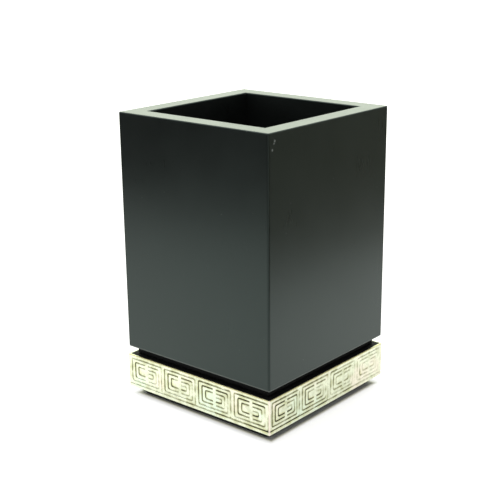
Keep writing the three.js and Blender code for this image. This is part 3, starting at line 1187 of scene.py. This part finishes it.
def seen_directly(tree):
    """One for rays that the camera, a gloss or a glass sends, and nothing for the light on other things."""
    path = add(tree, "ShaderNodeLightPath").outputs
    seen = maths(tree, "ADD", path["Is Camera Ray"], path["Is Glossy Ray"])
    return maths(tree, "MINIMUM", maths(tree, "ADD", seen, path["Is Transmission Ray"]), 1)


def flat_face(name, half):
    """One square face that lies on the table's level."""
    builder = bmesh.new()
    bmesh.ops.create_grid(builder, x_segments=1, y_segments=1, size=half)
    mesh = bpy.data.meshes.new(name)
    builder.to_mesh(mesh)
    builder.free()
    made = bpy.data.objects.new(name, mesh)
    bpy.context.scene.collection.objects.link(made)
    return made


def table_top():
    """The table, whose glow for seen rays is painted light that fills its shade. The glow fades out in a
    band round the foot, so that the holder's shadow shows there, tinted yellow and reaching further to the
    right.
    """
    top = flat_face("table_top", table_half)
    made, tree, shader, place = new_material("white_table")
    shader.inputs["Base Color"].default_value = table_white
    shader.inputs["Roughness"].default_value = table_roughness
    shader.inputs["Specular IOR Level"].default_value = table_specular
    axes = add(tree, "ShaderNodeSeparateXYZ", {0: place}).outputs
    # Painted shadow: the glow is held back round the foot, further out on the right, and tinted yellow
    # where it fades in.
    shaded = maths(tree, "ABSOLUTE", maths(tree, "SUBTRACT", axes["X"], longer_shade / 2))
    across = maths(tree, "SUBTRACT", shaded, longer_shade / 2)
    reach = maths(tree, "MAXIMUM", across, maths(tree, "ABSOLUTE", axes["Y"]))
    clear = ramp(tree, reach, *contact_zone)
    tree.links.new(mixed(tree, clear, painted_shadow_tint, room_white), shader.inputs["Emission Color"])
    near = maths(tree, "MULTIPLY", clear, near_glow)
    spread = maths(tree, "MULTIPLY_ADD", ramp(tree, reach, *far_zone), far_glow, near)
    glow = maths(tree, "MULTIPLY", seen_directly(tree), spread)
    tree.links.new(glow, shader.inputs["Emission Strength"])
    top.data.materials.append(made)


def upright_card(name, middle, facing, colour):
    """A card that stands on the table and shows in glossy surfaces only."""
    card = flat_face(name, 0.5)
    card.scale = (card_width, card_height, 1)
    card.rotation_euler = (math.pi / 2, 0, math.radians(facing))
    card.location = (*middle, card_height / 2)
    made, _, shader, _ = new_material(name)
    shader.inputs["Base Color"].default_value = colour
    shader.inputs["Roughness"].default_value = 1
    card.data.materials.append(made)
    card.visible_camera = False
    card.visible_diffuse = False
    card.visible_shadow = False
    card.visible_transmission = False


def soft_lamp(name, place, aim, size, radiance, colour):
    """A soft box of this width and height, whose face shines at this radiance."""
    lamp = bpy.data.lights.new(name, "AREA")
    lamp.shape = "RECTANGLE"
    lamp.size, lamp.size_y = size
    lamp.energy = math.pi * size[0] * size[1] * radiance
    lamp.color = colour
    holder = bpy.data.objects.new(name, lamp)
    holder.location = place
    holder.rotation_euler = (Vector(aim) - Vector(place)).to_track_quat("-Z", "Y").to_euler()
    holder.visible_camera = False
    bpy.context.scene.collection.objects.link(holder)


def white_room():
    """A world that gives a dim even light, and looks white where it is seen or mirrored."""
    world = bpy.data.worlds.new("white_room")
    bpy.context.scene.world = world
    world.use_nodes = True
    tree = world.node_tree
    background = tree.nodes["Background"]
    background.inputs["Color"].default_value = room_white
    strength = ramp(tree, seen_directly(tree), 0, 1, room_light, room_seen)
    tree.links.new(strength, background.inputs["Strength"])


table_top()
upright_card("card_front", front_card_place, front_card_facing, front_card_colour)
upright_card("card_right", right_card_place, right_card_facing, right_card_colour)
soft_lamp("lamp_above", above_place, (0, 0, 0), above_size, above_radiance, above_colour)
soft_lamp("lamp_behind", behind_place, behind_aim, behind_size, behind_radiance, behind_colour)
white_room()
bpy.context.scene.view_settings.view_transform = "Standard"


# Camera: where the photograph was taken from, a little above the rim and in front of the near corner of
# the cup. The angles and the lens are fitted to the cup's edges in the photograph.

camera_azimuth = math.radians(39.927)
camera_elevation = math.radians(17.541)
camera_roll = math.radians(-0.441)
camera_target = Vector((0.0001, 0.0002, 0.0563))
camera_distance = 0.4461
focal_length = 77.41
sensor_width = 36
picture_width = 500
shift_right = 6.26
shift_up = 12.32


def place_camera():
    """Points the camera at its target, rolled a little, with its picture shifted in pixels."""
    camera = bpy.data.cameras.new("camera")
    camera.lens = focal_length
    camera.sensor_width = sensor_width
    camera.sensor_fit = "HORIZONTAL"
    camera.shift_x = -shift_right / picture_width
    camera.shift_y = shift_up / picture_width
    level = Vector((math.cos(camera_azimuth), math.sin(camera_azimuth), 0))
    away = Vector((math.sin(camera_azimuth), -math.cos(camera_azimuth), 0))
    back = away * math.cos(camera_elevation) + Vector((0, 0, math.sin(camera_elevation)))
    upright = back.cross(level)
    right = level * math.cos(camera_roll) + upright * math.sin(camera_roll)
    up = upright * math.cos(camera_roll) - level * math.sin(camera_roll)
    holder = bpy.data.objects.new("camera", camera)
    holder.matrix_world = Matrix((right, up, back)).transposed().to_4x4()
    holder.location = camera_target + back * camera_distance
    bpy.context.scene.collection.objects.link(holder)
    bpy.context.scene.camera = holder


place_camera()
